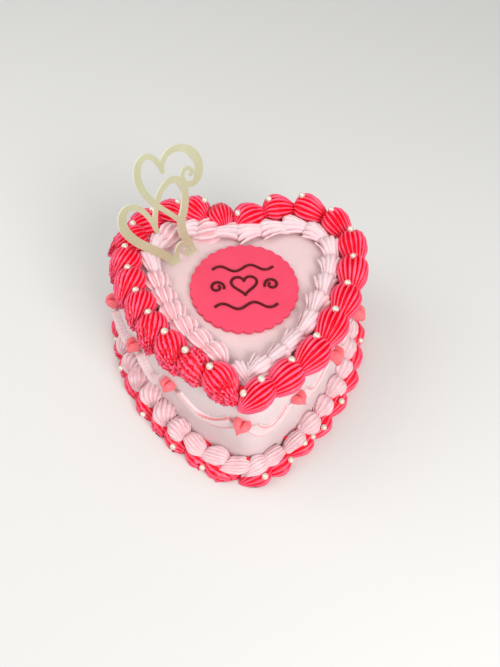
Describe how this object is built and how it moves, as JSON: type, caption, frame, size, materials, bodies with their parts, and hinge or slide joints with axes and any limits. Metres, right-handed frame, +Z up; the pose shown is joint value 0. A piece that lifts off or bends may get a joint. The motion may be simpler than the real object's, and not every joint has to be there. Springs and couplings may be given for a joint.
{
  "type": "heart_shaped_buttercream_cake",
  "caption": "A heart shaped buttercream cake with pink piped shell borders, draped swags, small hearts, sugar pearls, a fondant disc and a gold heart topper.",
  "frame": {"origin": "On the underside of the cake, below the middle of the heart's width.", "axes": "+Z up, -Y towards the point of the heart, +X to the right when the point faces the viewer."},
  "size_m": [0.1888, 0.184, 0.1459],
  "materials": {
    "body icing": "smooth spread buttercream, soft satin",
    "hot pink icing": "piped buttercream with sharp ridges, soft satin",
    "pale pink icing": "piped buttercream with sharp ridges, soft satin",
    "swag icing": "piped buttercream, soft satin",
    "coral icing": "piped buttercream, soft satin",
    "rose fondant": "rolled fondant, dull, with a line of melted chocolate piped on it",
    "gold acrylic": "acrylic sheet with a pale gold mirror film"
  },
  "bodies": {
    "root": {"cake": "body icing", "top_border": "hot pink icing", "inner_border": "pale pink icing", "foot_border": "hot pink icing", "upper_foot_border": "pale pink icing", "plaque": "rose fondant", "topper": "gold acrylic", "wall_heart_01": "coral icing", "wall_heart_02": "coral icing", "wall_heart_03": "coral icing", "wall_heart_04": "coral icing", "wall_heart_05": "coral icing", "wall_heart_06": "coral icing", "wall_heart_07": "coral icing", "wall_heart_08": "coral icing", "wall_heart_09": "coral icing", "wall_heart_10": "coral icing", "wall_heart_11": "coral icing", "wall_heart_12": "coral icing", "wall_heart_13": "coral icing", "swag_01": "swag icing", "swag_02": "swag icing", "swag_03": "swag icing", "swag_04": "swag icing", "swag_05": "swag icing", "swag_06": "swag icing", "swag_07": "swag icing", "swag_08": "swag icing", "swag_09": "swag icing", "swag_10": "swag icing", "swag_11": "swag icing", "swag_12": "swag icing", "swag_13": "swag icing"}
  },
  "joints": []
}
